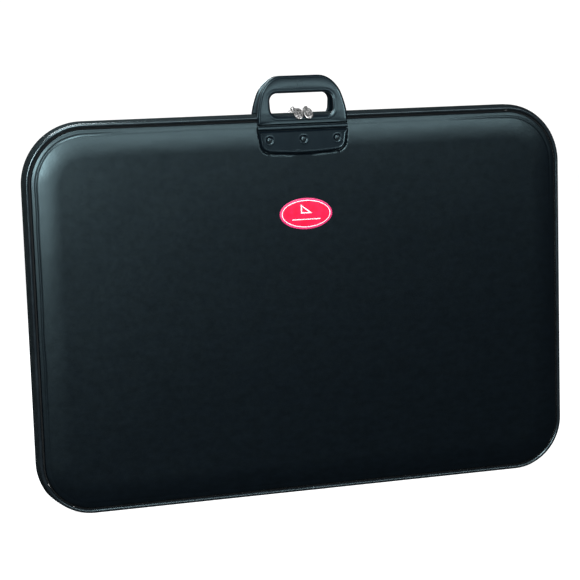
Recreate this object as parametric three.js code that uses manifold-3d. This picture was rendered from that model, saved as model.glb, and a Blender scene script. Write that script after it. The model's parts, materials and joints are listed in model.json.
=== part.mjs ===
// Zipped portfolio case: two padded halves hinged to a spine along the bottom edge,
// with a moulded carrying handle riveted to each half and two zip sliders on the top edge.
// Millimetres, +X across the case, the front faces -Y, +Z up. The case stands on z = 0.

import * as THREE from 'three';
import { mergeVertices } from 'three/addons/utils/BufferGeometryUtils.js';
import Module from 'manifold-3d';

const wasm = await Module();
wasm.setup();

// ---- driving dimensions ----

const CASE_WIDTH = 760;
const CASE_HEIGHT = 524;
const TOP_CORNER_RADIUS = 80;
const BOTTOM_CORNER_RADIUS = 72;
const CORNER_STEPS = 9;
const GAP = 0.3;                 // free space between pieces that touch

const PIPING_DIAMETER = 5;
const PIPING_DEPTH = 12;         // from the zip's plane to the piping's centre line
const PIPING_SIDES = 8;

const CROWN = 18.5;              // from the zip's plane to the padded face
const EDGE_ROLL = 32;            // width of the soft rounding along the face's edge
const SEAM_WIDTH = 2;            // width of the sunken seam between the piping and the padding
const SEAM_FACE = 11.2;
const PADDING_EDGE = PIPING_DIAMETER + GAP + SEAM_WIDTH;
const COVER_EDGE = 12.5;         // depth at which the rounding starts
const COVER_BACK = 10;
const COVER_THICKNESS = 1.2;
const ROLL_STEPS = 6;
const PAD_MARGIN = 2;            // the foam stops this far inside the cover's edge
const BOARD = [10.8, 12.8];      // depths of the inner and outer faces
const BACKING_PLATE = [9.5, 10.5];
const LINING = [8.4, 9.2];
const TRIM_ON_LINING = [7.5, 8.1];
const THROUGH = [5, 25];         // past every layer of a half

const GUSSET_DEPTH = [5.6, 9.2];
const GUSSET_INSET = [1.4, 2.9];
const TAPE_DEPTH = [2.8, 9.2];
const TAPE_INSET = [3.2, 4.2];
const TEETH_DEPTH = [0.9, 2.5];
const TEETH_INSET = [2.2, 4.6];
const STOP_DEPTH = [0.8, 2.5];
const STOP_INSET = [1.6, 5];
const ZIP_RISE = 4.4;            // how much the zip stands out above those insets, but not at the bottom
const TAPE_LEVEL_TO = 5;         // from this depth on the tape slopes down under the gusset

const SPINE_HALF_DEPTH = 8.9;
const SPINE_LAYERS = { cover: [0, 1.2], board: [1.5, 3.3], lining: [3.6, 4.2] };

const HANDLE_FRONT = 19.5;
const HANDLE_BACK = 15.5;
const GRIP_BACK = 11;
const HANDLE_TOP = 53.5;         // heights are from the case's top edge
const HANDLE_BOTTOM = -52;
const HANDLE_HALF_WIDTH = 63.5;
const FINGER_HOLE = { halfWidth: 45, low: -1.5, high: 30, radius: 11 };
const GRIP_THICKENS_AT = 0.8;
const GRIP_LEAN = { from: 1.5, slope: Math.tan(THREE.MathUtils.degToRad(11)) };
const FOLD_HEIGHTS = [-20, -13];
const FOLD_SLOPE = Math.tan(THREE.MathUtils.degToRad(24));
const FOLD_GAP = 0.2;            // half the gap left at each fold line
const RIVET_HEIGHT = -32.7;
const RIVET_PITCH = 48;
const RIVET = { shaft: 1.6, hole: 2.1, head: 3.6, recess: 5, recessDepth: 1, dome: 1.4 };

const STRAP = { halfLength: 85, halfWidth: 12.5, cornerDistance: 92 };
const POCKET = { halfWidth: 230, bottom: 40, top: 300 };

const BADGE = { halfWidth: 37.5, halfHeight: 21.5, height: -134.4, thickness: 1 };

const SLIDER = { x: 9.5, length: 15, halfWidth: 5.2, plate: 1.6, slitClearance: 0.3 };
const BRIDGE = { height: 7.8, halfLength: 4.5, leg: 1, halfY: 1.2, halfZ: 0.8 };
const LINK = { hole: 1.9, eye: 3.4, reach: 9.3, halfX: 2.5, tipHalfX: 4.4, droop: 25 };

// ---- materials ----

function material(color, roughness, metalness = 0) {
  return new THREE.MeshStandardMaterial({ color, roughness, metalness });
}

const leatherette = material(0x1b2326, 0.5);
const glossPiping = material(0x101214, 0.25);
const mouldedPlastic = material(0x1a2226, 0.4);
const rivetPlastic = material(0x14181b, 0.3);
const foam = material(0x6d6f70, 0.95);
const hardboard = material(0x7a5c3e, 0.85);
const liningFabric = material(0x2a2c30, 0.9);
const zipTape = material(0x121416, 0.9);
const zipMetal = material(0xb9b6b0, 0.3, 0.9);
const steel = material(0x9b9d9f, 0.4, 0.9);
const badgeRed = material(0xdf1e3c, 0.3);
const elastic = material(0x1d1e20, 0.8);

// ---- geometry helpers ----

// Corners of the case's outline, anticlockwise from the lower right, seen from the front.
const corners = [
  { x: 1, z: -1, radius: BOTTOM_CORNER_RADIUS, start: -90 },
  { x: 1, z: 1, radius: TOP_CORNER_RADIUS, start: 0 },
  { x: -1, z: 1, radius: TOP_CORNER_RADIUS, start: 90 },
  { x: -1, z: -1, radius: BOTTOM_CORNER_RADIUS, start: 180 },
];

// Stations on the outline: the outermost point, its outward normal and the share of the zip's rise there.
function outlineStations() {
  const stations = [];
  for (const corner of corners) {
    const centreX = corner.x * (CASE_WIDTH / 2 - corner.radius);
    const centreZ = CASE_HEIGHT / 2 + corner.z * (CASE_HEIGHT / 2 - corner.radius);
    for (let step = 0; step <= CORNER_STEPS; step += 1) {
      const angle = THREE.MathUtils.degToRad(corner.start + (90 * step) / CORNER_STEPS);
      const nx = Math.cos(angle);
      const nz = Math.sin(angle);
      const lift = Math.min(1, 2 * (1 + nz));
      stations.push({ x: centreX + corner.radius * nx, z: centreZ + corner.radius * nz, nx, nz, lift });
    }
  }
  return stations;
}

const stations = outlineStations();

// A geometry of merged points whose faces all point outwards.
function solidFrom(positions, triangles) {
  let volume = 0;
  for (const [a, b, c] of triangles) {
    const pa = new THREE.Vector3(...positions[a]);
    const pb = new THREE.Vector3(...positions[b]);
    volume += pa.dot(pb.cross(new THREE.Vector3(...positions[c])));
  }
  const ordered = volume < 0 ? triangles.map(([a, b, c]) => [a, c, b]) : triangles;
  const geometry = new THREE.BufferGeometry();
  geometry.setAttribute('position', new THREE.Float32BufferAttribute(positions.flat(), 3));
  geometry.setIndex(ordered.flat());
  return geometry;
}

function pointAt(station, inset, depth) {
  return [station.x - station.nx * inset, -depth, station.z - station.nz * inset];
}

// Joins neighbouring rings of equal length with pairs of triangles.
function joinRings(triangles, ringA, ringB, size, around) {
  const last = around ? size : size - 1;
  for (let i = 0; i < last; i += 1) {
    const next = (i + 1) % size;
    triangles.push([ringA + i, ringA + next, ringB + next], [ringA + i, ringB + next, ringB + i]);
  }
}

// A solid bounded by rings that follow the outline. The first and last rings are filled in.
function plateFromRings(rings) {
  const count = stations.length;
  const positions = rings.flatMap(([inset, depth]) => stations.map((s) => pointAt(s, inset, depth)));
  const triangles = [];
  for (let ring = 0; ring + 1 < rings.length; ring += 1) {
    joinRings(triangles, ring * count, (ring + 1) * count, count, true);
  }
  const top = (rings.length - 1) * count;
  for (let i = 1; i + 1 < count; i += 1) {
    triangles.push([0, i + 1, i], [top, top + i, top + i + 1]);
  }
  return solidFrom(positions, triangles);
}

// A section of [inset, depth, rise] points carried along the outline, all round or from end to end.
function sweepSection(section, along, closed) {
  const size = section.length;
  const positions = along.flatMap((s) => section.map(([inset, depth, rise]) => (
    pointAt(s, inset - rise * s.lift, depth)
  )));
  const triangles = [];
  const spans = closed ? along.length : along.length - 1;
  for (let i = 0; i < spans; i += 1) {
    joinRings(triangles, i * size, ((i + 1) % along.length) * size, size, true);
  }
  if (!closed) {
    const end = (along.length - 1) * size;
    for (let i = 1; i + 1 < size; i += 1) {
      triangles.push([0, i + 1, i], [end, end + i, end + i + 1]);
    }
  }
  return solidFrom(positions, triangles);
}

// A band that rises with the zip on its inner side, and by the outer rise on its outer side.
function bandSection([insetLow, insetHigh], [depthLow, depthHigh], outerRise) {
  return [
    [insetLow, depthLow, ZIP_RISE],
    [insetHigh, depthLow, ZIP_RISE],
    [insetHigh, depthHigh, outerRise],
    [insetLow, depthHigh, outerRise],
  ];
}

// The tape lies level beside the teeth, then slopes down under the gusset to the seam.
function tapeSection() {
  const [insetLow, insetHigh] = TAPE_INSET;
  const [depthLow, depthHigh] = TAPE_DEPTH;
  return [
    [insetHigh, TAPE_LEVEL_TO, ZIP_RISE],
    [insetHigh, depthHigh, 0],
    [insetLow, depthHigh, 0],
    [insetLow, TAPE_LEVEL_TO, ZIP_RISE],
    [insetLow, depthLow, ZIP_RISE],
    [insetHigh, depthLow, ZIP_RISE],
  ];
}

function toManifold(geometry) {
  const bare = geometry.clone();
  bare.deleteAttribute('normal');
  bare.deleteAttribute('uv');
  const merged = mergeVertices(bare, 1e-4);
  const vertProperties = new Float32Array(merged.attributes.position.array);
  const triVerts = new Uint32Array(merged.index.array);
  return new wasm.Manifold(new wasm.Mesh({ numProp: 3, vertProperties, triVerts }));
}

function fromManifold(solid) {
  const mesh = solid.getMesh();
  const geometry = new THREE.BufferGeometry();
  geometry.setAttribute('position', new THREE.BufferAttribute(new Float32Array(mesh.vertProperties), 3));
  geometry.setIndex(Array.from(mesh.triVerts));
  return geometry;
}

function subtractAll(solid, cutters) {
  return cutters.reduce((rest, cutter) => rest.subtract(cutter), solid);
}

function addAll(solids) {
  return solids.reduce((whole, solid) => whole.add(solid));
}

// A box between two opposite corners.
function box([x0, y0, z0], [x1, y1, z1]) {
  const geometry = new THREE.BoxGeometry(x1 - x0, y1 - y0, z1 - z0);
  return geometry.translate((x0 + x1) / 2, (y0 + y1) / 2, (z0 + z1) / 2);
}

// An outline drawn in x and z, given thickness between two depths in front of the zip's plane.
function plateFromShape(shape, [depthLow, depthHigh], curveSegments = 6) {
  const geometry = new THREE.ExtrudeGeometry(shape, {
    depth: depthHigh - depthLow,
    bevelEnabled: false,
    curveSegments,
  });
  return geometry.rotateX(Math.PI / 2).translate(0, -depthLow, 0);
}

// A section of [y, z] points carried along x.
function prismAlongX(points, halfLength) {
  const shape = new THREE.Shape(points.map(([y, z]) => new THREE.Vector2(y, z)));
  const geometry = new THREE.ExtrudeGeometry(shape, { depth: 2 * halfLength, bevelEnabled: false });
  geometry.translate(0, 0, -halfLength);
  return geometry.applyMatrix4(new THREE.Matrix4().makeBasis(
    new THREE.Vector3(0, 1, 0),
    new THREE.Vector3(0, 0, 1),
    new THREE.Vector3(1, 0, 0),
  ));
}

// A round turned piece with its axis along y. The profile is [radius, depth] from axis to axis.
function turnedAlongY(profile, sides = 12) {
  const points = profile.map(([radius, depth]) => new THREE.Vector2(radius, depth));
  return new THREE.LatheGeometry(points, sides).rotateX(Math.PI);
}

function rivetPositions() {
  return [-RIVET_PITCH, 0, RIVET_PITCH].map((x) => [x, 0, CASE_HEIGHT + RIVET_HEIGHT]);
}

// Cutters for the three rivets, between two depths.
function rivetHoles(radius, [depthLow, depthHigh]) {
  const profile = [[0, depthLow], [radius, depthLow], [radius, depthHigh], [0, depthHigh]];
  return rivetPositions().map((place) => toManifold(turnedAlongY(profile).translate(...place)));
}

// ---- a half of the case ----

// The handle's outline, grown by a margin; z is from the case's top edge.
function handleOutline(margin = 0) {
  const width = HANDLE_HALF_WIDTH + margin;
  const top = HANDLE_TOP + margin;
  const bottom = HANDLE_BOTTOM - margin;
  const shape = new THREE.Shape();
  shape.moveTo(0, top);
  shape.lineTo(-26, top);
  shape.bezierCurveTo(-44, top, 8.5 - width, 36, 6 - width, 28);
  shape.bezierCurveTo(3.7 - width, 20.5, -width, 9, -width, -4);
  shape.lineTo(-width, -19);
  shape.lineTo(3 - width, -38);
  shape.bezierCurveTo(5 - width, -48, 12 - width, bottom + 2.6, 21 - width, bottom + 2);
  shape.quadraticCurveTo(-20, bottom, 0, bottom);
  shape.quadraticCurveTo(20, bottom, width - 21, bottom + 2);
  shape.bezierCurveTo(width - 12, bottom + 2.6, width - 5, -48, width - 3, -38);
  shape.lineTo(width, -19);
  shape.lineTo(width, -4);
  shape.bezierCurveTo(width, 9, width - 3.7, 20.5, width - 6, 28);
  shape.bezierCurveTo(width - 8.5, 36, 44, top, 26, top);
  shape.closePath();
  return shape;
}

function fingerHoleShape() {
  const { halfWidth, low, high, radius } = FINGER_HOLE;
  const shape = new THREE.Shape();
  shape.moveTo(-halfWidth + radius, low);
  shape.lineTo(halfWidth - radius, low);
  shape.absarc(halfWidth - radius, low + radius, radius, -Math.PI / 2, 0);
  shape.lineTo(halfWidth, high - radius);
  shape.absarc(halfWidth - radius, high - radius, radius, 0, Math.PI / 2);
  shape.lineTo(-halfWidth + radius, high);
  shape.absarc(-halfWidth + radius, high - radius, radius, Math.PI / 2, Math.PI);
  shape.lineTo(-halfWidth, low + radius);
  shape.absarc(-halfWidth + radius, low + radius, radius, Math.PI, 1.5 * Math.PI);
  return shape;
}

function handlePlate(shape, depths) {
  return toManifold(plateFromShape(shape, depths).translate(0, 0, CASE_HEIGHT));
}

// The padded face: a straight edge, then a quarter-round roll up to the flat crown.
function paddedRings(shrink) {
  const rings = [];
  const edge = PADDING_EDGE + shrink;
  for (let step = 0; step <= ROLL_STEPS; step += 1) {
    const angle = (Math.PI / 2) * (step / ROLL_STEPS);
    const inset = edge + EDGE_ROLL * (1 - Math.cos(angle));
    rings.push([inset, COVER_EDGE + (CROWN - COVER_EDGE - shrink) * Math.sin(angle)]);
  }
  return rings;
}

// The padded volume from a back depth to the face, pressed in where the handle sits.
function pressedFace(shrink, backDepth, pressDepth) {
  const rings = [[PADDING_EDGE + shrink, backDepth], ...paddedRings(shrink)];
  const press = handlePlate(handleOutline(1 + shrink), [pressDepth, CROWN + 5]);
  return toManifold(plateFromRings(rings)).subtract(press);
}

function coverGeometry() {
  const pressed = HANDLE_BACK - GAP;
  const seam = toManifold(flatLayer(PIPING_DIAMETER + GAP, [COVER_BACK, SEAM_FACE]));
  const outside = pressedFace(0, COVER_BACK, pressed).add(seam);
  const inside = pressedFace(COVER_THICKNESS, COVER_BACK - 1, pressed - COVER_THICKNESS);
  return fromManifold(subtractAll(outside.subtract(inside), rivetHoles(RIVET.hole, THROUGH)));
}

function padGeometry() {
  const shrink = COVER_THICKNESS + GAP;
  const pressed = HANDLE_BACK - GAP - shrink;
  const pad = toManifold(flatLayer(PADDING_EDGE + shrink + PAD_MARGIN, [BOARD[1] + GAP, THROUGH[1]]));
  const solid = pressedFace(shrink, COVER_BACK, pressed).intersect(pad);
  return fromManifold(subtractAll(solid, rivetHoles(RIVET.hole, THROUGH)));
}

function flatLayer(inset, depths) {
  return plateFromRings([[inset, depths[0]], [inset, depths[1]]]);
}

function boardGeometry() {
  const inset = PADDING_EDGE + COVER_THICKNESS + GAP;
  return fromManifold(subtractAll(toManifold(flatLayer(inset, BOARD)), rivetHoles(RIVET.hole, THROUGH)));
}

function pipingGeometry() {
  const radius = PIPING_DIAMETER / 2;
  const section = [];
  for (let side = 0; side < PIPING_SIDES; side += 1) {
    const angle = (2 * Math.PI * side) / PIPING_SIDES;
    section.push([radius - radius * Math.cos(angle), PIPING_DEPTH + radius * Math.sin(angle), 0]);
  }
  return sweepSection(section, stations, true);
}

// The zip runs over the sides, corners and top, and leaves the bottom edge to the spine.
function teethGeometry() {
  return sweepSection(bandSection(TEETH_INSET, TEETH_DEPTH, ZIP_RISE), stations.slice(1, -1), false);
}

function zipStop(end) {
  const along = end === 'right' ? stations.slice(0, 2) : stations.slice(-2);
  return sweepSection(bandSection(STOP_INSET, STOP_DEPTH, ZIP_RISE), along, false);
}

function backingPlateGeometry() {
  const halfLength = RIVET_PITCH + 12;
  const plate = toManifold(box(
    [-halfLength, -BACKING_PLATE[1], CASE_HEIGHT + RIVET_HEIGHT - 9],
    [halfLength, -BACKING_PLATE[0], CASE_HEIGHT + RIVET_HEIGHT + 9],
  ));
  return fromManifold(subtractAll(plate, rivetHoles(RIVET.hole, THROUGH)));
}

function rivetGeometry() {
  const seat = HANDLE_FRONT - RIVET.recessDepth + GAP / 2;
  const profile = [
    [0, BACKING_PLATE[0]],
    [RIVET.shaft, BACKING_PLATE[0]],
    [RIVET.shaft, seat],
    [RIVET.head, seat],
    [RIVET.head * 0.94, seat + RIVET.dome * 0.4],
    [RIVET.head * 0.66, seat + RIVET.dome * 0.8],
    [0, seat + RIVET.dome],
  ];
  return turnedAlongY(profile);
}

// The part of the handle's front plate between two fold lines, with sloping edges at the folds.
function betweenFolds(low, high) {
  const slope = (HANDLE_FRONT - HANDLE_BACK) * FOLD_SLOPE;
  const span = { back: -HANDLE_BACK, front: -HANDLE_FRONT };
  const pastBottom = [HANDLE_BOTTOM - 9, HANDLE_BOTTOM - 9];
  const pastTop = [HANDLE_TOP + 9, HANDLE_TOP + 9];
  const lowEdge = low === null ? pastBottom : [low + FOLD_GAP, low + FOLD_GAP + slope];
  const highEdge = high === null ? pastTop : [high - FOLD_GAP, high - FOLD_GAP - slope];
  const reach = 0.5;             // past both faces of the plate
  const steep = reach * FOLD_SLOPE;
  const points = [
    [span.back + reach, lowEdge[0] - (low === null ? 0 : steep)],
    [span.front - reach, lowEdge[1] + (low === null ? 0 : steep)],
    [span.front - reach, highEdge[1] - (high === null ? 0 : steep)],
    [span.back + reach, highEdge[0] + (high === null ? 0 : steep)],
  ].map(([y, height]) => [y, height + CASE_HEIGHT]);
  return toManifold(prismAlongX(points, HANDLE_HALF_WIDTH + 9));
}

function handleBaseGeometry() {
  const plate = handlePlate(handleOutline(), [HANDLE_BACK, HANDLE_FRONT]);
  const piece = plate.intersect(betweenFolds(null, FOLD_HEIGHTS[0]));
  const recesses = rivetHoles(RIVET.recess, [HANDLE_FRONT - RIVET.recessDepth, HANDLE_FRONT + 5]);
  return fromManifold(subtractAll(piece, [...recesses, ...rivetHoles(RIVET.hole, THROUGH)]));
}

function handleStripGeometry() {
  const plate = handlePlate(handleOutline(), [HANDLE_BACK, HANDLE_FRONT]);
  return fromManifold(plate.intersect(betweenFolds(...FOLD_HEIGHTS)));
}

function handleGripGeometry() {
  const hole = handlePlate(fingerHoleShape(), [GRIP_BACK - 5, HANDLE_FRONT + 5]);
  const plate = handlePlate(handleOutline(), [HANDLE_BACK, HANDLE_FRONT]);
  const lower = plate.intersect(betweenFolds(FOLD_HEIGHTS[1], null));
  const thick = handlePlate(handleOutline(), [GRIP_BACK, HANDLE_FRONT]);
  const aboveEdge = toManifold(box(
    [-100, -30, CASE_HEIGHT + GRIP_THICKENS_AT],
    [100, 0, CASE_HEIGHT + HANDLE_TOP + 9],
  ));
  return fromManifold(leaned(lower.add(thick.intersect(aboveEdge)).subtract(hole)));
}

// The grip above the case's edge leans back, so that the two grips nearly meet at the top.
function leaned(grip) {
  const from = CASE_HEIGHT + GRIP_LEAN.from;
  const [upper, lower] = grip.splitByPlane([0, 0, 1], from);
  const tilted = upper.warp((point) => {
    point[1] += (point[2] - from) * GRIP_LEAN.slope;
  });
  return tilted.add(lower);
}

// Every layer of a half, drawn for the front one. The back one is the same, turned half a turn about z.
const halfPieces = [
  ['cover', coverGeometry(), leatherette],
  ['foam_pad', padGeometry(), foam],
  ['stiffener_board', boardGeometry(), hardboard],
  ['lining', flatLayer(PIPING_DIAMETER + GAP, LINING), liningFabric],
  ['piping', pipingGeometry(), glossPiping],
  ['gusset', sweepSection(bandSection(GUSSET_INSET, GUSSET_DEPTH, 0), stations, false), leatherette],
  ['zip_tape', sweepSection(tapeSection(), stations, false), zipTape],
  ['zip_teeth', teethGeometry(), zipMetal],
  ['zip_stop_left', zipStop('left'), zipMetal],
  ['zip_stop_right', zipStop('right'), zipMetal],
  ['handle_backing_plate', backingPlateGeometry(), steel],
  ['handle_base', handleBaseGeometry(), mouldedPlastic],
  ['handle_fold_strip', handleStripGeometry(), mouldedPlastic],
  ['handle_grip', handleGripGeometry(), mouldedPlastic],
];

function buildHalf(side) {
  const half = new THREE.Group();
  for (const [name, geometry, surface] of halfPieces) {
    half.add(named(`${side}_${name}`, geometry, surface));
  }
  const rivet = rivetGeometry();
  rivetPositions().forEach((place, index) => {
    const mesh = named(`${side}_handle_rivet_${index + 1}`, rivet, rivetPlastic);
    mesh.position.set(...place);
    half.add(mesh);
  });
  return half;
}

function named(name, geometry, surface) {
  const mesh = new THREE.Mesh(geometry, surface);
  mesh.name = name;
  return mesh;
}

// ---- the pieces that are not repeated ----

function buildSpine() {
  const spine = new THREE.Group();
  const halfLength = CASE_WIDTH / 2 - BOTTOM_CORNER_RADIUS - 1;
  const layers = [['cover', 0, leatherette], ['board', 0.5, hardboard], ['lining', 0.5, liningFabric]];
  for (const [layer, trim, surface] of layers) {
    const [low, high] = SPINE_LAYERS[layer];
    const halfDepth = SPINE_HALF_DEPTH - trim;
    const geometry = box([-halfLength + trim, -halfDepth, low], [halfLength - trim, halfDepth, high]);
    spine.add(named(`spine_${layer}`, geometry, surface));
  }
  return spine;
}

function buildBadge() {
  const shape = new THREE.Shape();
  shape.absellipse(0, 0, BADGE.halfWidth, BADGE.halfHeight, 0, 2 * Math.PI);
  const geometry = plateFromShape(shape, [CROWN + GAP, CROWN + GAP + BADGE.thickness], 32);
  return named('badge', geometry.translate(0, 0, CASE_HEIGHT + BADGE.height), badgeRed);
}

// A slider's plate seen from above: a broad nose at one end and a narrower tail at the other.
function sliderPlateShape() {
  const { length, halfWidth } = SLIDER;
  const shape = new THREE.Shape();
  shape.moveTo(-length / 2, -halfWidth * 0.62);
  shape.lineTo(length * 0.1, -halfWidth);
  shape.quadraticCurveTo(length / 2, -halfWidth, length / 2, 0);
  shape.quadraticCurveTo(length / 2, halfWidth, length * 0.1, halfWidth);
  shape.lineTo(-length / 2, halfWidth * 0.62);
  shape.closePath();
  return shape;
}

function sliderPlate(low) {
  const options = { depth: SLIDER.plate, bevelEnabled: false, curveSegments: 5 };
  return new THREE.ExtrudeGeometry(sliderPlateShape(), options).translate(0, 0, low);
}

// Two plates over and under the teeth, a wedge between the rows, and a bridge that carries the pull.
function sliderGeometry() {
  const over = ZIP_RISE - TEETH_INSET[0] + SLIDER.slitClearance;
  const under = ZIP_RISE - TEETH_INSET[1] - SLIDER.slitClearance - SLIDER.plate;
  const { halfLength, leg, halfY, halfZ, height } = BRIDGE;
  const solids = [
    sliderPlate(over),
    sliderPlate(under),
    box([1, -0.6, under + 0.5], [6.5, 0.6, over + 0.5]),
    box([-halfLength, -halfY, over + 0.5], [-halfLength + leg, halfY, height + halfZ]),
    box([halfLength - leg, -halfY, over + 0.5], [halfLength, halfY, height + halfZ]),
    box([-halfLength, -halfY, height - halfZ], [halfLength, halfY, height + halfZ]),
  ];
  return fromManifold(addAll(solids.map(toManifold)));
}

// The loop round the bridge, with a tongue that lies forward and down.
function pullLinkGeometry() {
  const { eye, hole, reach, halfX, tipHalfX } = LINK;
  const ring = new THREE.Shape();
  ring.absarc(0, 0, eye, 0, 2 * Math.PI);
  const thickness = { depth: 2 * halfX, bevelEnabled: false, curveSegments: 8 };
  const lug = new THREE.ExtrudeGeometry(ring, thickness).translate(0, 0, -halfX).rotateY(Math.PI / 2);
  const opening = new THREE.Shape();
  opening.absarc(0, 0, hole, 0, 2 * Math.PI);
  const through = { depth: 4 * halfX, bevelEnabled: false, curveSegments: 8 };
  const bore = new THREE.ExtrudeGeometry(opening, through).translate(0, 0, -2 * halfX).rotateY(Math.PI / 2);
  const tongue = new THREE.Shape();
  tongue.moveTo(-halfX, -2.4);
  tongue.lineTo(-tipHalfX, -reach + 2);
  tongue.quadraticCurveTo(0, -reach - 2, tipHalfX, -reach + 2);
  tongue.lineTo(halfX, -2.4);
  tongue.closePath();
  const flat = { depth: 1.8, bevelEnabled: false, curveSegments: 6 };
  const blade = new THREE.ExtrudeGeometry(tongue, flat).translate(0, 0, -0.9);
  const whole = toManifold(lug).add(toManifold(blade)).subtract(toManifold(bore));
  return fromManifold(whole).rotateX(THREE.MathUtils.degToRad(LINK.droop));
}

function buildSlider(side, sign) {
  const group = new THREE.Group();
  group.position.set(sign * SLIDER.x, 0, CASE_HEIGHT);
  const slider = named(`zip_slider_${side}`, sliderGeometry(), zipMetal);
  slider.rotation.z = sign < 0 ? Math.PI : 0;
  const link = named(`zip_pull_${side}`, pullLinkGeometry(), zipMetal);
  link.position.z = BRIDGE.height;
  group.add(slider, link);
  return group;
}

// Four elastic bands across the corners of the back lining hold the sheets of paper.
function buildCornerStraps() {
  const straps = new THREE.Group();
  const places = [
    ['upper_left', -1, 1],
    ['upper_right', 1, 1],
    ['lower_left', -1, -1],
    ['lower_right', 1, -1],
  ];
  const { halfLength, halfWidth, cornerDistance } = STRAP;
  const reachX = CASE_WIDTH / 2 - cornerDistance;
  const reachZ = CASE_HEIGHT / 2 - cornerDistance;
  for (const [place, x, z] of places) {
    const geometry = box(
      [-halfLength, TRIM_ON_LINING[0], -halfWidth],
      [halfLength, TRIM_ON_LINING[1], halfWidth],
    );
    const strap = named(`corner_strap_${place}`, geometry, elastic);
    strap.position.set(x * reachX, 0, CASE_HEIGHT / 2 + z * reachZ);
    strap.rotation.y = (x * z * Math.PI) / 4;
    straps.add(strap);
  }
  return straps;
}

// A flat pocket for loose sheets on the front lining, open along its top edge.
function buildPocket() {
  const { halfWidth, bottom, top } = POCKET;
  const geometry = box([-halfWidth, -TRIM_ON_LINING[1], bottom], [halfWidth, -TRIM_ON_LINING[0], top]);
  return named('document_pocket', geometry, liningFabric);
}

// ---- the whole case ----

const front = buildHalf('front');
front.add(buildBadge(), buildPocket());
const rear = buildHalf('rear');
rear.rotation.z = Math.PI;

const portfolioCase = new THREE.Group();
portfolioCase.add(front, rear, buildSpine(), buildCornerStraps());
portfolioCase.add(buildSlider('left', -1), buildSlider('right', 1));

export default portfolioCase;
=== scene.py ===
"""Portfolio case: the finished look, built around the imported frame.

Shapes are worked out in millimetres, as they are in the CAD model, and turned into metres by place().
Each half is drawn as the front one and turned half a turn about Z for the rear one.
"""
import json
import math

import bmesh
import bpy
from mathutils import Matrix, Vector, noise


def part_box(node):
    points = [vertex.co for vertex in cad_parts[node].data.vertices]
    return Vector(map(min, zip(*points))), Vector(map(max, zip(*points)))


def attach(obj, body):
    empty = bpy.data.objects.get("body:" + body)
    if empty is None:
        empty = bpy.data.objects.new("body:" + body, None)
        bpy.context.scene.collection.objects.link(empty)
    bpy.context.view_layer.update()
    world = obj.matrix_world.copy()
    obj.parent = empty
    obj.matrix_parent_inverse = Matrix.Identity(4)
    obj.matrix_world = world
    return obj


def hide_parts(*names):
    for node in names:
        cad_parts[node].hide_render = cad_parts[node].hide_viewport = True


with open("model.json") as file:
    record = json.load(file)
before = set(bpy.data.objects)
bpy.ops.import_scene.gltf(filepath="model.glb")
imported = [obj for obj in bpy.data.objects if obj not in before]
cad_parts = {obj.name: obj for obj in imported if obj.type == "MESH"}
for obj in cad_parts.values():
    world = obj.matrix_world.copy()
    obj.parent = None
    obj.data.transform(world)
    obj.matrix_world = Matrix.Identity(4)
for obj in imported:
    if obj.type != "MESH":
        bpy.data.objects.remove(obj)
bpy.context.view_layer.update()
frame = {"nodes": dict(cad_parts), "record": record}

MM = 0.001
SIDES = ("front", "rear")

# ---- sizes, read from the frame, in millimetres ----


def box_mm(node):
    """The corners of a CAD piece's box, in millimetres."""
    low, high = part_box(node)
    return [c / MM for c in low], [c / MM for c in high]


_piping_low, _piping_high = box_mm("front_piping")
WIDTH = _piping_high[0] - _piping_low[0]
HEIGHT = _piping_high[2] - _piping_low[2]
PIPING_RADIUS = (_piping_high[1] - _piping_low[1]) / 2
PIPING_DEPTH = -(_piping_high[1] + _piping_low[1]) / 2
TOP_CORNER, BOTTOM_CORNER = 80.0, 72.0

_cover_low, _cover_high = box_mm("front_cover")
CROWN = -_cover_low[1]
COVER_BACK = -_cover_high[1]
PANEL_INSET = WIDTH / 2 - _cover_high[0]

_grip_low, _grip_high = box_mm("front_handle_grip")
_base_low, _base_high = box_mm("front_handle_base")
_strip_low, _strip_high = box_mm("front_handle_fold_strip")
HANDLE_FRONT = -_grip_low[1]
GRIP_BACK = 11.0      # the grips' rear faces, above the case's edge
HANDLE_BACK = -_base_high[1]
HANDLE_HALF = _grip_high[0]
HANDLE_TOP = _grip_high[2] - HEIGHT
HANDLE_BOTTOM = _base_low[2] - HEIGHT
FOLD_GAP = 0.2        # half of the gap at each fold
FOLD_LOW = _strip_low[2] - FOLD_GAP - HEIGHT
FOLD_HIGH = _strip_high[2] + FOLD_GAP - HEIGHT
FOLD_SLOPE = math.tan(math.radians(20.3))     # how the faces at a fold slope apart
HOLE = {"half": 45.0, "low": -1.5, "high": 30.0, "radius": 11.0}
BEND = 1.5            # the grips lean back from this height over the case's edge
LEAN = math.tan(math.radians(11))
EARLY_LEAN = 0.11     # of the grips' front faces, between the fold and the bend
_rivet_low, _rivet_high = box_mm("front_handle_rivet_3")
RIVET_PITCH = (_rivet_low[0] + _rivet_high[0]) / 2
RIVET_HEIGHT = (_rivet_low[2] + _rivet_high[2]) / 2 - HEIGHT
RIVET_RECESS = 5.0

ZIP_RISE = 4.4        # how much the zip stands out, away from the bottom edge


def rise(start, end, value):
    """0 below start, 1 above end, smooth between."""
    t = min(1.0, max(0.0, (value - start) / (end - start)))
    return t * t * (3 - 2 * t)


def wobble(x, z, scale, seed):
    """Smooth random value from about -1 to 1 that changes over about scale millimetres."""
    return noise.noise(Vector((x / scale, z / scale, seed * 7.31)))


def lift(normal_z):
    """The share of the zip's rise on the outline: none on the bottom edge, all of it above the corners."""
    return min(1.0, 2 * (1 + normal_z))


def place(side, x, depth, z):
    """A point of the front half, in metres, turned for the rear half."""
    turn = 1 if side == "front" else -1
    return (turn * x * MM, -turn * depth * MM, z * MM)


# ---- materials ----


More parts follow.
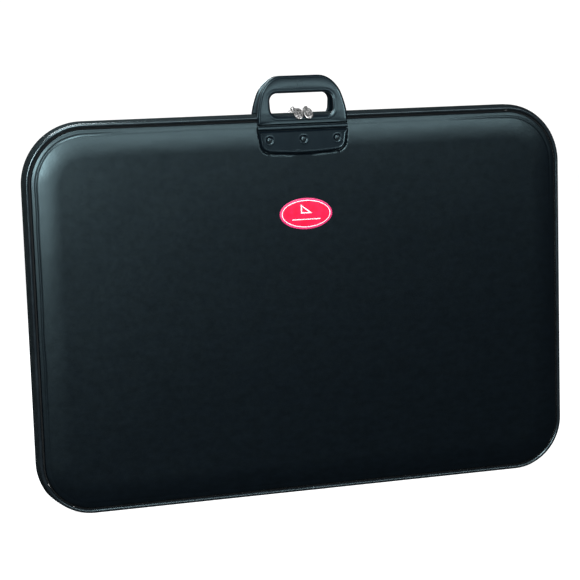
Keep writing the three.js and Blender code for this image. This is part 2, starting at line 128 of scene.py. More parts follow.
class Surface:
    """A procedural material: constant values on the shader, patterns linked by the methods below."""

    def __init__(self, name, roughness, **values):
        self.material = bpy.data.materials.new(name)
        self.material.use_nodes = True
        self.tree = self.material.node_tree
        self.shader = self.tree.nodes["Principled BSDF"]
        self.shader.inputs["Roughness"].default_value = roughness
        for key, value in values.items():
            self.shader.inputs[key.replace("_", " ")].default_value = value
        self.place = self.node("ShaderNodeTexCoord").outputs["Object"]
        self.normal = None

    def node(self, kind, **inputs):
        made = self.tree.nodes.new(kind)
        for key, value in inputs.items():
            self.set(made.inputs[key.replace("_", " ")], value)
        return made

    def set(self, socket, value):
        if isinstance(value, bpy.types.NodeSocket):
            self.tree.links.new(value, socket)
        else:
            socket.default_value = value

    def noise(self, scale, detail=3.0, stretch=(1, 1, 1), distortion=0.0):
        at = self.node("ShaderNodeMapping", Vector=self.place, Scale=stretch).outputs["Vector"]
        made = self.node("ShaderNodeTexNoise", Vector=at, Scale=scale, Detail=detail, Distortion=distortion)
        return made.outputs["Fac"]

    def cells(self, scale, feature="F1"):
        made = self.node("ShaderNodeTexVoronoi", Vector=self.place, Scale=scale)
        made.feature = feature
        return made.outputs["Distance"]

    def waves(self, scale, direction, distortion=0.0):
        made = self.node("ShaderNodeTexWave", Vector=self.place, Scale=scale, Distortion=distortion)
        made.bands_direction = direction
        return made.outputs["Fac"]

    def maths(self, operation, a, b):
        made = self.tree.nodes.new("ShaderNodeMath")
        made.operation = operation
        self.set(made.inputs[0], a)
        self.set(made.inputs[1], b)
        return made.outputs[0]

    def colour(self, value, dark, light, low=0.35, high=0.65):
        made = self.node("ShaderNodeValToRGB", Fac=value)
        for element, position, shade in zip(made.color_ramp.elements, (low, high), (dark, light)):
            element.position = position
            element.color = (*shade, 1)
        self.set(self.shader.inputs["Base Color"], made.outputs["Color"])

    def roughness(self, value, low, high):
        span = self.node("ShaderNodeMapRange", Value=value, To_Min=low, To_Max=high)
        self.set(self.shader.inputs["Roughness"], span.outputs["Result"])

    def bump(self, value, strength, distance_mm):
        made = self.node("ShaderNodeBump", Strength=strength, Distance=distance_mm * MM, Height=value)
        if self.normal is not None:
            self.set(made.inputs["Normal"], self.normal)
        self.normal = made.outputs["Normal"]
        self.set(self.shader.inputs["Normal"], self.normal)


COOL = (0.70, 0.95, 1.0, 1.0)     # the bluish sheen of the leatherette and the plastic


def leatherette():
    s = Surface("leatherette", 0.36, Specular_IOR_Level=0.5, Specular_Tint=COOL)
    mottle = s.noise(120, 6.0, stretch=(0.45, 1, 1))
    grain = s.cells(1100, "SMOOTH_F1")
    s.colour(mottle, (0.0008, 0.0014, 0.0026), (0.0014, 0.0024, 0.0042))
    s.roughness(s.noise(140, 5.0), 0.285, 0.365)
    s.bump(s.noise(14, 2.0, distortion=0.4), 0.12, 0.30)
    s.bump(s.noise(85, 6.0, stretch=(1, 1, 0.7), distortion=0.6), 0.14, 0.16)
    s.bump(s.noise(300, 4.0), 0.26, 0.12)
    s.bump(grain, 0.28, 0.08)
    return s.material


def shaded_band_leatherette():
    """The gusset's leatherette: matt, and reflecting less than the face's, which paints shade on this
    up-facing band so that it reads darker.
    """
    s = Surface("shaded_band_leatherette", 0.62, Specular_IOR_Level=0.25, Specular_Tint=COOL)
    s.colour(s.noise(120, 5.0), (0.0030, 0.0038, 0.0044), (0.0055, 0.0068, 0.0076))
    s.roughness(s.noise(140, 5.0), 0.54, 0.70)
    s.bump(s.cells(1100, "SMOOTH_F1"), 0.30, 0.10)
    return s.material


def gloss_piping():
    s = Surface(
        "gloss_piping", 0.22, Specular_IOR_Level=0.6, Specular_Tint=COOL, Coat_Weight=0.4, Coat_Roughness=0.12
    )
    s.colour(s.noise(60), (0.006, 0.008, 0.010), (0.012, 0.015, 0.018))
    s.roughness(s.noise(40, 5.0), 0.16, 0.32)
    s.bump(s.noise(35, 4.0), 0.25, 0.20)
    s.bump(s.noise(700, 2.0), 0.10, 0.03)
    return s.material


def moulded_plastic():
    s = Surface("moulded_plastic", 0.34, Specular_IOR_Level=0.42, Specular_Tint=COOL)
    s.colour(s.noise(35, 4.0), (0.0016, 0.0032, 0.0054), (0.0026, 0.0046, 0.0074))
    s.roughness(s.noise(90, 6.0), 0.27, 0.36)
    s.bump(s.noise(60, 3.0), 0.12, 0.10)
    s.bump(s.cells(1900), 0.22, 0.04)
    return s.material


def rivet_plastic():
    s = Surface("rivet_plastic", 0.27, Specular_IOR_Level=0.5, Specular_Tint=COOL)
    s.colour(s.noise(150), (0.008, 0.010, 0.012), (0.014, 0.018, 0.020))
    s.roughness(s.noise(300, 4.0), 0.18, 0.34)
    s.bump(s.noise(900, 2.0), 0.12, 0.03)
    return s.material


def foam():
    s = Surface("foam", 0.95, Specular_IOR_Level=0.2)
    cells = s.cells(420)
    s.colour(cells, (0.16, 0.165, 0.17), (0.42, 0.43, 0.44), 0.1, 0.7)
    s.bump(cells, 0.8, 0.6)
    return s.material


def hardboard():
    s = Surface("hardboard", 0.85, Specular_IOR_Level=0.25)
    fibres = s.noise(420, 6.0, stretch=(1, 1, 0.25), distortion=1.2)
    s.colour(fibres, (0.17, 0.105, 0.06), (0.33, 0.22, 0.13))
    s.roughness(s.noise(80, 4.0), 0.75, 0.92)
    s.bump(fibres, 0.4, 0.15)
    return s.material


def woven(name, dark, light, threads_per_m, roughness, depth_mm, sheen):
    """Plain weave: threads across and up, each passing over the other in turn."""
    s = Surface(name, roughness, Specular_IOR_Level=0.3, Sheen_Weight=sheen, Sheen_Roughness=0.5)
    across = s.waves(threads_per_m / math.tau, "X", 0.6)
    up = s.waves(threads_per_m / math.tau, "Z", 0.6)
    weave = s.maths("ABSOLUTE", s.maths("SUBTRACT", across, up), 0.0)
    s.colour(s.maths("MULTIPLY_ADD", weave, 0.5), dark, light, 0.1, 0.9)
    s.roughness(s.noise(200, 3.0), roughness - 0.08, min(1.0, roughness + 0.08))
    s.bump(weave, 0.6, depth_mm)
    s.bump(s.noise(30, 3.0), 0.2, 0.8)
    return s.material


def zip_metal():
    s = Surface("zip_metal", 0.34, Metallic=0.75)
    s.colour(s.noise(480, 6.0), (0.10, 0.085, 0.08), (0.88, 0.80, 0.77), 0.42, 0.60)
    s.roughness(s.noise(500, 4.0), 0.24, 0.46)
    s.bump(s.noise(900, 3.0, stretch=(1, 1, 0.2)), 0.25, 0.05)
    return s.material


def steel():
    s = Surface("steel", 0.4, Metallic=1.0)
    brushed = s.noise(900, 4.0, stretch=(0.05, 1, 1))
    s.colour(brushed, (0.36, 0.37, 0.38), (0.55, 0.56, 0.57))
    s.roughness(brushed, 0.3, 0.5)
    s.bump(brushed, 0.2, 0.03)
    return s.material


def enamel(name, dark, light, roughness):
    s = Surface(name, roughness, Specular_IOR_Level=0.35, Coat_Weight=0.15, Coat_Roughness=0.08)
    s.colour(s.noise(90, 3.0), dark, light)
    s.roughness(s.noise(160, 4.0), roughness * 0.8, roughness * 1.3)
    s.bump(s.noise(120, 2.0), 0.12, 0.05)
    return s.material


def thread():
    s = Surface("thread", 0.7, Specular_IOR_Level=0.3)
    twist = s.waves(900, "DIAGONAL")
    s.colour(twist, (0.006, 0.007, 0.008), (0.022, 0.025, 0.028))
    s.bump(twist, 0.5, 0.08)
    return s.material


MATERIALS = {
    "leatherette": leatherette(),
    "gloss_piping": gloss_piping(),
    "moulded_plastic": moulded_plastic(),
    "rivet_plastic": rivet_plastic(),
    "foam": foam(),
    "hardboard": hardboard(),
    "lining_fabric": woven(
        "lining_fabric", (0.012, 0.013, 0.016), (0.045, 0.048, 0.055),
        threads_per_m=1500, roughness=0.85, depth_mm=0.15, sheen=0.2,
    ),
    "zip_tape": woven("zip_tape", (0.004, 0.005, 0.006), (0.016, 0.018, 0.020), 2200, 0.85, 0.12, 0.1),
    "zip_metal": zip_metal(),
    "steel": steel(),
    "badge_red": enamel("badge_red", (0.90, 0.008, 0.045), (0.99, 0.014, 0.07), 0.30),
    "elastic": woven("elastic", (0.005, 0.006, 0.007), (0.030, 0.032, 0.035), 900, 0.8, 0.3, 0.15),
}
THREAD = thread()
SHADED_BAND = shaded_band_leatherette()
# Near-black matt cloth for the cover's faces down in the seam: painted shade, standing in for the shadow
# between the piping and the face.
SEAM_SHADE_CLOTH = woven("painted_seam_shade", (0.0012, 0.0014, 0.0016), (0.004, 0.0045, 0.005), 1800, 0.9, 0.1, 0.0)
BADGE_RIM = enamel("badge_rim", (0.66, 0.030, 0.125), (0.78, 0.045, 0.16), 0.35)
BADGE_WHITE = enamel("badge_white", (0.86, 0.80, 0.82), (0.97, 0.93, 0.94), 0.35)

# ---- mesh helpers ----


def add_object(name, data):
    """A new object in the scene."""
    made = bpy.data.objects.new(name, data)
    bpy.context.collection.objects.link(made)
    return made


def make_piece(name, bm, body, slot, replaces=(), materials=None, sharp_degrees=42):
    """A finished piece from a bmesh: normals out, smooth except at sharp edges, riding on a body."""
    bmesh.ops.remove_doubles(bm, verts=bm.verts, dist=1e-7)
    bmesh.ops.recalc_face_normals(bm, faces=bm.faces)
    limit = math.radians(sharp_degrees)
    for face in bm.faces:
        face.smooth = True
    for edge in bm.edges:
        edge.smooth = len(edge.link_faces) != 2 or edge.calc_face_angle(0.0) < limit
    mesh = bpy.data.meshes.new(name)
    bm.to_mesh(mesh)
    bm.free()
    for material in materials or [MATERIALS[slot]]:
        mesh.materials.append(material)
    piece = add_object(name, mesh)
    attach(piece, body)
    if replaces:
        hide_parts(*replaces)
    return piece


def add_rings(bm, rings, joined=False):
    """Joins rings of equal length with quads. The last ring is joined to the first, or both are filled."""
    rows = [[bm.verts.new(point) for point in ring] for ring in rings]
    pairs = list(zip(rows, rows[1:]))
    if joined:
        pairs.append((rows[-1], rows[0]))
    for row, following in pairs:
        for i in range(len(row)):
            j = (i + 1) % len(row)
            bm.faces.new((row[i], row[j], following[j], following[i]))
    if not joined:
        bm.faces.new(rows[0])
        bm.faces.new(rows[-1])


def ring_piece(name, rings, body, slot, replaces=(), materials=None, sharp_degrees=42, joined=False):
    """A piece made of one run of rings."""
    bm = bmesh.new()
    add_rings(bm, rings, joined)
    return make_piece(name, bm, body, slot, replaces, materials, sharp_degrees)


def circle(steps):
    """Cosine and sine at evenly spaced angles round a full turn."""
    angles = [2 * math.pi * step / steps for step in range(steps)]
    return [(math.cos(angle), math.sin(angle)) for angle in angles]


def squared(value, power):
    """A sine or cosine pushed towards 1 or -1, which squares off a circle."""
    return math.copysign(abs(value) ** power, value)


def rounded_box(half_width, low, high, radius, steps):
    """A closed anticlockwise run of (x, z) points round a box with rounded corners."""
    points = []
    for sx, sz, start in ((1, 1, 0), (-1, 1, 90), (-1, -1, 180), (1, -1, 270)):
        cz = high - radius if sz > 0 else low + radius
        for step in range(steps + 1):
            a = math.radians(start + 90 * step / steps)
            points.append((sx * (half_width - radius) + radius * math.cos(a), cz + radius * math.sin(a)))
    return points


def offset(points, distance, sharpest=0.45):
    """A closed anticlockwise run of points moved inwards; distance may be a function of a point."""
    moved = []
    for k, here in enumerate(points):
        here, before, after = Vector(here), Vector(points[k - 1]), Vector(points[(k + 1) % len(points)])
        one, two = (here - before).normalized(), (after - here).normalized()
        normal = Vector((-(one.y + two.y), one.x + two.x)).normalized()
        reach = distance(here) if callable(distance) else distance
        moved.append(tuple(here + normal * reach / max(sharpest, normal.dot(Vector((-one.y, one.x))))))
    return moved


def toward_line(points, half_line, height, share):
    """Points moved by a share of the way to a level centre line."""
    moved = []
    for x, z in points:
        cx = max(-half_line, min(half_line, x))
        moved.append((x + (cx - x) * share, z + (height - z) * share))
    return moved


# ---- the case's outline ----

CORNER_STEPS, SIDE_STEPS, TOP_STEPS = 24, 40, 64
HANDLE_STEP = 1.1     # between the points beside the handle


def corner_arcs():
    """Each corner's side in x and z, its radius and its first angle, anticlockwise."""
    return [
        (1, -1, BOTTOM_CORNER, -90),
        (1, 1, TOP_CORNER, 0),
        (-1, 1, TOP_CORNER, 90),
        (-1, -1, BOTTOM_CORNER, 180),
    ]


def edge_shares(index):
    """Where points stand along an edge, 0..1: even, and close together beside the handle."""
    if index % 2 == 0:
        return [step / SIDE_STEPS for step in range(1, SIDE_STEPS)]
    length = WIDTH - 2 * (TOP_CORNER if index == 1 else BOTTOM_CORNER)
    close = [
        0.5 + sign * (HANDLE_HALF + HANDLE_STEP * step) / length for sign in (-1, 1) for step in range(-16, 9)
    ]
    even = [step / TOP_STEPS for step in range(1, TOP_STEPS)]
    clear = 1.0 / length
    return sorted(close + [share for share in even if min(abs(share - near) for near in close) > clear])


def case_stations():
    """Points (x, z, normal x, normal z) on the case's outline, from the lower right corner, anticlockwise.
    The second value is how many of them run over the sides, corners and top, before the bottom edge."""
    arcs = []
    for sx, sz, radius, start in corner_arcs():
        cx = sx * (WIDTH / 2 - radius)
        cz = HEIGHT / 2 + sz * (HEIGHT / 2 - radius)
        arc = []
        for step in range(CORNER_STEPS + 1):
            angle = math.radians(start + 90 * step / CORNER_STEPS)
            nx, nz = math.cos(angle), math.sin(angle)
            arc.append((cx + radius * nx, cz + radius * nz, nx, nz))
        arcs.append(arc)
    stations = []
    for index, arc in enumerate(arcs):
        stations += arc
        if index == 3:
            open_count = len(stations)
        (x, z, nx, nz), end = arc[-1], arcs[(index + 1) % 4][0]
        for t in edge_shares(index):
            stations.append((x * (1 - t) + end[0] * t, z * (1 - t) + end[1] * t, nx, nz))
    return stations, open_count


STATIONS, OPEN_COUNT = case_stations()


def at_station(side, station, inset, depth, along=0.0):
    """A point inset from the outline at a station, moved along the outline from there."""
    x, z, nx, nz = station
    return place(side, x - nx * inset - nz * along, depth, z - nz * inset + nx * along)


def sweep(side, section, stations):
    """Rings of a section of (inset, depth, rise) points along the outline; the rise follows the zip."""
    return [
        [at_station(side, station, inset - climb * lift(station[3]), out) for inset, out, climb in section]
        for station in stations
    ]


def edge_distance(x, z):
    """How far a point is inside the case's outline."""
    radius = TOP_CORNER if z > HEIGHT / 2 else BOTTOM_CORNER
    qx = abs(x) - (WIDTH / 2 - radius)
    qz = abs(z - HEIGHT / 2) - (HEIGHT / 2 - radius)
    return radius - math.hypot(max(qx, 0), max(qz, 0)) - min(max(qx, qz), 0)


# ---- the padded halves ----

SEAM_DEPTH = 11.2     # the sunken seam beside the piping
SEAM_WALL = (1.3, 2.9)      # where the cover rises out of the seam, in from its edge
HEM_DEPTH = 13.9      # the cover's depth beside the seam
CREASE_AT = 8.6       # where the foam ends, in from the cover's edge
CREASE_WIDTH = 1.5
CREASE_DEPTH = 0.62
ROLL_WIDTH = 38.0     # the padding's rounded edge
PRESS_RIM = 2.0       # width over which the padding rises beside the handle
RIM_DRAW = 8.0        # mesh points up to this far from the handle are drawn towards it


def handle_distance(x, z):
    """How far a point is outside the handle's outline, roughly; negative under it."""
    corner = 13.0
    narrow_from, narrow_over = 19.0, 19.0      # below the case's edge, and the height it narrows over
    narrowing = 0.16 * max(0.0, min(narrow_over, HEIGHT - narrow_from - z))
    bottom = HEIGHT + HANDLE_BOTTOM + 2 * min(1.0, abs(x) / (HANDLE_HALF - 21)) ** 2
    qx = abs(x) - (HANDLE_HALF - narrowing - corner)
    qz = bottom + corner - z
    return math.hypot(max(qx, 0), max(qz, 0)) + min(max(qx, qz), 0) - corner


def drawn_to_handle(x, z):
    """A mesh point near the handle's outline, moved closer to it, so that the rim there is crisp."""
    away = handle_distance(x, z)
    if not 0 < away < RIM_DRAW:
        return x, z
    step = 0.01
    slope_x = (handle_distance(x + step, z) - away) / step
    slope_z = (handle_distance(x, z + step) - away) / step
    move = RIM_DRAW * (away / RIM_DRAW) ** 2.2 - away
    return x + slope_x * move, z + slope_z * move


def cover_depth(x, z, seed):
    """The padded face's depth in front of the zip's plane."""
    inward = edge_distance(x, z) - PANEL_INSET
    t = min(1.0, max(0.0, (inward - 2.0) / ROLL_WIDTH))
    depth = HEM_DEPTH + (CROWN - HEM_DEPTH) * (1 - (1 - t) ** 1.9)
    # The crease is clear on the left and the upper right, and faint elsewhere.
    across, up = x / (WIDTH / 2), (z - HEIGHT / 2) / (HEIGHT / 2)
    strength = 0.15 + 0.85 * rise(0.55, 0.88, -across) * rise(-0.9, -0.2, up)
    strength += 0.45 * rise(0.5, 0.8, across) * rise(0.3, 0.9, up)
    along = CREASE_AT + 0.9 * wobble(x, z, 45, seed + 1) + 0.35 * wobble(x, z, 12, seed + 2)
    depth -= CREASE_DEPTH * strength * math.exp(-(((inward - along) / CREASE_WIDTH) ** 2))
    soft = rise(3, 30, inward)
    depth += soft * (0.30 * wobble(x, z, 95, seed + 3) + 0.10 * wobble(x, z, 34, seed + 4))
    near_edge = rise(9, 16, inward) * (1 - rise(26, 44, inward))
    depth += 0.09 * near_edge * wobble(x + z * 0.55, z - x * 0.4, 15, seed + 5)
    depth += 0.4 * rise(40, 190, inward)
    depth = SEAM_DEPTH + (depth - SEAM_DEPTH) * rise(*SEAM_WALL, inward)
    # Under the handle the padding is pressed flat.
    pressed = HANDLE_BACK - 0.35
    settled = rise(0.4, PRESS_RIM, handle_distance(x, z))
    return depth if depth < pressed else pressed + (depth - pressed) * settled


def panel_rings(side, depth_at, start_inset, back_depth):
    """Rings of a padded face, from its rear edge over the front to its middle."""
    seed = 3 if side == "front" else 17
    insets = [0.0, 0.7, 1.3, 1.6, 1.9, 2.2, 2.5, 2.8, 3.2, 3.9]
    insets += [4.6 + 0.62 * i for i in range(13)]
    insets += [13.0, 14.2, 15.6, 17.2, 19, 21, 23.5, 26, 28, 30]
    insets += [30 + 1.25 * i for i in range(1, 23)] + [59]
    rings = []
    for inset in insets:
        reach = PANEL_INSET + start_inset + inset
        rings.append([(x - nx * reach, z - nz * reach) for x, z, nx, nz in STATIONS])
    last = rings[-1]
    for step in range(1, 19):
        rings.append(toward_line(last, WIDTH / 2 - HEIGHT / 2, HEIGHT / 2, 0.975 * step / 18))
    rings = [[drawn_to_handle(x, z) for x, z in ring] for ring in rings]
    made = [[place(side, x, depth_at(x, z, seed), z) for x, z in ring] for ring in rings]
    return [[place(side, x, back_depth, z) for x, z in rings[0]]] + made


def build_cover(side):
    """The leatherette skin: the outer face, folded round its edge to the inner face."""
    skin = 1.1
    outer = panel_rings(side, cover_depth, 0.0, COVER_BACK)
    inner = panel_rings(side, lambda x, z, seed: cover_depth(x, z, seed) - skin, skin, COVER_BACK)
    bm = bmesh.new()
    add_rings(bm, inner[::-1] + outer)
    # Painted shade: the faces down in the seam beside the piping take the near-black matt cloth.
    for face in bm.faces:
        middle = face.calc_center_median() / MM
        if edge_distance(middle.x, middle.z) - PANEL_INSET < SEAM_WALL[0] + 0.6:
            face.material_index = 1
    looks = [MATERIALS["leatherette"], SEAM_SHADE_CLOTH]
    cover = make_piece(f"{side}_cover_skin", bm, f"{side}_half", "leatherette", [f"{side}_cover"], looks)


def build_foam(side):
    """The foam pad between the cover's skin and the board."""
    clear = 1.45
    board_low, _ = box_mm("front_stiffener_board")
    back = -board_low[1] + 0.25

    def front(x, z, seed):
        return max(back + 0.3, cover_depth(x, z, seed) - clear)

    rings = panel_rings(side, front, clear + 3.0, back)
    pad = ring_piece(f"{side}_foam", rings, f"{side}_half", "foam", [f"{side}_foam_pad"])


def build_piping(side):
    """Glossy round piping, swept round the case's outline."""
    section = [
        (PIPING_RADIUS - PIPING_RADIUS * c, PIPING_DEPTH + PIPING_RADIUS * s, 0.0) for c, s in circle(20)
    ]
    rings = sweep(side, section, STATIONS)
    ring_piece(f"{side}_piping_bead", rings, f"{side}_half", "gloss_piping", [f"{side}_piping"], joined=True)


def build_piping_join(side):
    """The short sleeve over the piping's two ends, on the bottom edge."""
    length, grow = 23.0, 0.22
    profile = [(0.0, 0.02), (0.4, 0.6), (1.2, 0.95), (2.2, 1.0)]
    steps = profile + [(length - t, s) for t, s in reversed(profile)]
    rings = []
    for along, share in steps:
        radius = PIPING_RADIUS + grow * share
        rings.append([
            place(side, along, PIPING_DEPTH + radius * c, max(0.02, PIPING_RADIUS + radius * s))
            for c, s in circle(20)
        ])
    ring_piece(f"{side}_piping_join", rings, f"{side}_half", "gloss_piping")


def build_bands(side):
    """The gusset and the zip tape, over the sides, corners and top."""
    stations = STATIONS[:OPEN_COUNT]
    gusset = []
    for step in range(9):
        t = step / 8
        gusset.append((1.4 - 0.5 * math.sin(math.pi * t), 9.2 - 3.5 * t, ZIP_RISE * t))
    gusset += [(1.6, 5.5, ZIP_RISE), (2.2, 5.45, ZIP_RISE), (2.7, 5.7, ZIP_RISE), (2.7, 9.2, 0.0)]
    rings = sweep(side, gusset, stations)
    # The gusset wears the less reflective copy of the leatherette: painted shade on the up-facing band.
    ring_piece(f"{side}_gusset_band", rings, f"{side}_half", "leatherette", [f"{side}_gusset"], [SHADED_BAND])
    tape = [
        (3.2, 9.2, 0.0), (3.25, 5.1, ZIP_RISE), (3.2, 4.0, ZIP_RISE), (3.25, 3.0, ZIP_RISE),
        (3.4, 2.75, ZIP_RISE), (3.9, 2.75, ZIP_RISE), (4.1, 3.0, ZIP_RISE), (4.1, 4.9, ZIP_RISE),
        (4.1, 9.2, 0.0),
    ]
    ring_piece(f"{side}_tape", sweep(side, tape, stations), f"{side}_half", "zip_tape", [f"{side}_zip_tape"])


def path_points(stations, pitch, start):
    """Evenly spaced (x, z, normal x, normal z) along the stations."""
    placed = []
    travelled, due = 0.0, start
    for a, b in zip(stations, stations[1:]):
        step = math.hypot(b[0] - a[0], b[1] - a[1])
        while due <= travelled + step:
            t = (due - travelled) / step
            mixed = [p * (1 - t) + q * t for p, q in zip(a, b)]
            scale = math.hypot(mixed[2], mixed[3])
            placed.append((mixed[0], mixed[1], mixed[2] / scale, mixed[3] / scale))
            due += pitch
        travelled += step
    return placed


TOOTH_PITCH = 2.6
TOOTH_START = 16.0    # from each end of the zip to the nearest tooth, past the end stops
# Half of a tooth's outline, from the tape's edge to the head: (depth, half height)
TOOTH = [(2.5, 0.1), (2.5, 0.9), (1.5, 1.0), (0.6, 0.75), (0.1, 0.95), (-0.5, 0.9), (-0.8, 0.35)]


def build_teeth(side):
    """One tooth every pitch, with a head that reaches between the other half's teeth."""
    path = STATIONS[:OPEN_COUNT]
    run = sum(math.dist(a[:2], b[:2]) for a, b in zip(path, path[1:])) - 2 * TOOTH_START
    count = int(run / TOOTH_PITCH)
    # The rear row runs the other way, so its first tooth is set to fall between two of the front row's.
    shift = 0.0 if side == "front" else (run - TOOTH_PITCH / 2) % TOOTH_PITCH
    bm = bmesh.new()
    for station in path_points(path, TOOTH_PITCH, TOOTH_START + shift)[:count]:
        middle = 3.4 - ZIP_RISE * lift(station[3])
        rings = []
        for along, share in ((-0.55, 0.82), (-0.33, 1.0), (0.33, 1.0), (0.55, 0.82)):
            ring = [(depth, middle - 1.2 * half * share) for depth, half in TOOTH]
            ring += [(depth, middle + 1.2 * half * share) for depth, half in reversed(TOOTH)]
            rings.append([at_station(side, station, inset, depth, along) for depth, inset in ring])
        add_rings(bm, rings)
    make_piece(f"{side}_teeth", bm, f"{side}_half", "zip_metal", [f"{side}_zip_teeth"])


STITCH_PITCH = 4.0


def build_stitches(side):
    """Short rounded stitches along the gusset's turned edge beside the zip."""
    shape = ((-1.4, 0.1, -0.15), (-1.0, 0.22, 0.12), (0.0, 0.26, 0.3), (1.0, 0.22, 0.12), (1.4, 0.1, -0.15))
    bm = bmesh.new()
    for station in path_points(STATIONS[:OPEN_COUNT], STITCH_PITCH, 3.0):
        surface = 1.15 - ZIP_RISE * 0.8 * lift(station[3])
        add_rings(bm, [
            [
                at_station(side, station, surface - high - size * c, 6.4 + size * s, along)
                for c, s in circle(6)
            ]
            for along, size, high in shape
        ])
    make_piece(f"{side}_gusset_stitches", bm, f"{side}_half", "zip_tape", materials=[THREAD])


# ---- the handles ----


def cubic(a, b, c, d, steps):
    """Points on a Bezier curve, without its first one."""
    points = []
    for step in range(1, steps + 1):
        t = step / steps
        u = 1 - t
        points.append(tuple(
            u ** 3 * p + 3 * u * u * t * q + 3 * u * t * t * r + t ** 3 * w for p, q, r, w in zip(a, b, c, d)
        ))
    return points


def line(a, b, steps):
    """Points on a straight line, without its first one."""
    return [tuple(p + (q - p) * step / steps for p, q in zip(a, b)) for step in range(1, steps + 1)]


def handle_side():
    """The right side of the handle's outline, from the middle of its top to the middle of its bottom."""
    w, top, bottom = HANDLE_HALF, HANDLE_TOP, HANDLE_BOTTOM
    points = [(0.0, top)] + line((0.0, top), (26, top), 18)
    points += cubic((26, top), (44, top), (w - 8.5, 36), (w - 6, 28), 26)
    points += cubic((w - 6, 28), (w - 3.7, 20.5), (w, 9), (w, -4), 16)
    points += line((w, -4), (w, -19), 10)
    points += line((w, -19), (w - 3, -38), 12)
    points += cubic((w - 3, -38), (w - 5, -48), (w - 12, bottom + 2.6), (w - 21, bottom + 2), 18)
    points += cubic((w - 21, bottom + 2), (27, bottom + 0.7), (14, bottom), (0, bottom), 24)
    return points


def trimmed_outline(low, high):
    """The handle's outline between two heights, anticlockwise seen from the front."""
    side = [(x, z) for x, z in handle_side() if low < z < high]
    if low > HANDLE_BOTTOM:
        side.append((HANDLE_HALF, low))
        side += line((HANDLE_HALF, low), (0.0, low), 44)
    else:
        top_x = HANDLE_HALF - 3 * max(0.0, -19 - high) / 19
        side = line((0.0, high), (top_x, high), 44) + side
    left = [(-x, z) for x, z in side if x > 1e-6]
    return left + side[::-1]


def fold_shift(z, depth, low, high):
    """Slides points near a fold along z, so that the folded faces clear each other."""
    forward = max(0.0, depth - HANDLE_BACK)
    if high is not None:
        z -= FOLD_SLOPE * forward * (1 - rise(0, 5, high - z))
    if low is not None:
        z += FOLD_SLOPE * forward * (1 - rise(0, 5, z - low))
    return z


def base_front(x, z):
    """The base plate's front face: three dished rivet seats and the moulding's gate mark."""
    depth = HANDLE_FRONT - 0.6
    for place_x in (-RIVET_PITCH, 0, RIVET_PITCH):
        r = math.hypot(x - place_x, z - RIVET_HEIGHT)
        depth += 0.35 * math.exp(-(((r - RIVET_RECESS - 1.0) / 0.7) ** 2))
        depth -= 0.9 * (1 - rise(RIVET_RECESS - 0.8, RIVET_RECESS + 0.2, r))
    gate = math.hypot(x + 9, z + 47.5)
    return depth + 0.4 * (1 - rise(0.6, 1.4, gate))


# From the outer edge inwards: a soft shoulder, a thin raised line, then the face.
# (distance, depth behind the front; None is the rear face)
BORDER = [
    (0.5, None), (0.0, 3.2), (0.15, 2.5), (0.5, 1.85), (1.0, 1.2), (1.6, 0.62), (2.1, 0.25), (2.45, 0.05),
    (2.8, 0.0), (3.2, 0.1), (3.6, 0.4), (4.1, 0.6),
]


def border_rings(outline, fold, back):
    """The border's rings of (x, depth, z); it narrows to a fine line along a fold."""
    rings = []
    for distance, behind in BORDER:
        loop = offset(outline, lambda point: distance * (0.3 + 0.7 * rise(0, 7, abs(point[1] - fold))))
        depth = back if behind is None else HANDLE_FRONT - behind
        rings.append([(x, depth, z) for x, z in loop])
    rings.insert(1, [(x, back + 0.5, z) for x, z in outline])
    return rings


def build_base(side):
    """The riveted base plate of a handle."""
    top = FOLD_LOW - FOLD_GAP
    outline = trimmed_outline(HANDLE_BOTTOM - 1, top)
    rings = border_rings(outline, top, HANDLE_BACK)
    inner = [(x, z) for x, _, z in rings[-1]]
    for step in range(1, 37):
        ring = toward_line(inner, 34.0, -43.8, 0.97 * step / 36)
        rings.append([(x, base_front(x, z), z) for x, z in ring])
    made = []
    for ring in rings:
        made.append([place(side, x, d, HEIGHT + fold_shift(z, d, None, top)) for x, d, z in ring])
    body, replaced = f"{side}_half", [f"{side}_handle_base"]
    ring_piece(f"{side}_base", made, body, "moulded_plastic", replaced, sharp_degrees=60)


def build_strip(side):
    """The narrow strip between the two living hinges."""
    low, high = FOLD_LOW + FOLD_GAP, FOLD_HIGH - FOLD_GAP
    slope = FOLD_SLOPE * (HANDLE_FRONT - HANDLE_BACK)
    front = HANDLE_FRONT - 0.3
    section = [
        (HANDLE_BACK, low), (HANDLE_BACK + 0.6, low + FOLD_SLOPE * 0.6),
        (front - 0.7, low + slope - 0.5), (front - 0.15, low + slope + 0.1),
        (front, low + slope + 0.8), (front - 0.45, high - slope - 0.6),
        (front - 0.6, high - slope - 0.1), (front - 1.0, high - slope + 0.5),
        (HANDLE_BACK + 0.6, high - FOLD_SLOPE * 0.6), (HANDLE_BACK, high),
    ]
    middle, centre = (low + high) / 2, (HANDLE_BACK + HANDLE_FRONT) / 2
    ends = [(1.0, 0.72), (0.997, 0.86), (0.99, 0.95), (0.975, 1.0)]
    rings = []
    for x, size in ends + [(-x, size) for x, size in reversed(ends)]:
        rings.append([
            place(side, x * HANDLE_HALF, centre + (d - centre) * size, HEIGHT + middle + (z - middle) * size)
            for d, z in section
        ])
    body = f"{side}_fold_strip"
    ring_piece(f"{side}_strip", rings, body, "moulded_plastic", [f"{side}_handle_fold_strip"])


